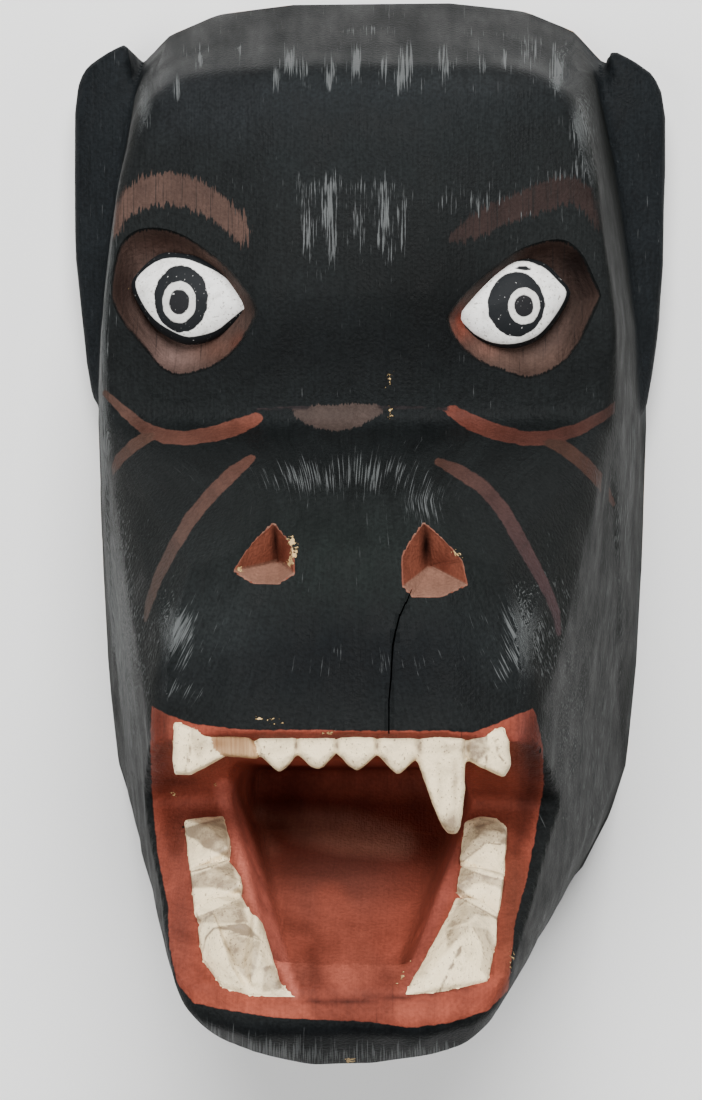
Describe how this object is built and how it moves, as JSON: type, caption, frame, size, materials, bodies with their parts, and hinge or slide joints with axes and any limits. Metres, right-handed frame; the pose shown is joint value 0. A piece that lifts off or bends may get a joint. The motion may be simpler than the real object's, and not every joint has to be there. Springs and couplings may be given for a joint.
{
  "type": "carved wooden monkey mask",
  "caption": "Carved wooden dance mask of a black ape with round staring eyes and a wide open toothed mouth, hollow at the back.",
  "frame": {"origin": "centre of the box, on the flat back rim that the mask lies on", "axes": "+X to the right of someone who looks at the face, +Y towards the top of the head, +Z out of the face"},
  "size_m": [0.203, 0.342, 0.1892],
  "materials": {
    "painted_wood": "matt black paint brushed over carved wood, with red-brown, cream and white details, worn at the edges"
  },
  "bodies": {
    "root": {"mask": "painted_wood"}
  },
  "joints": []
}
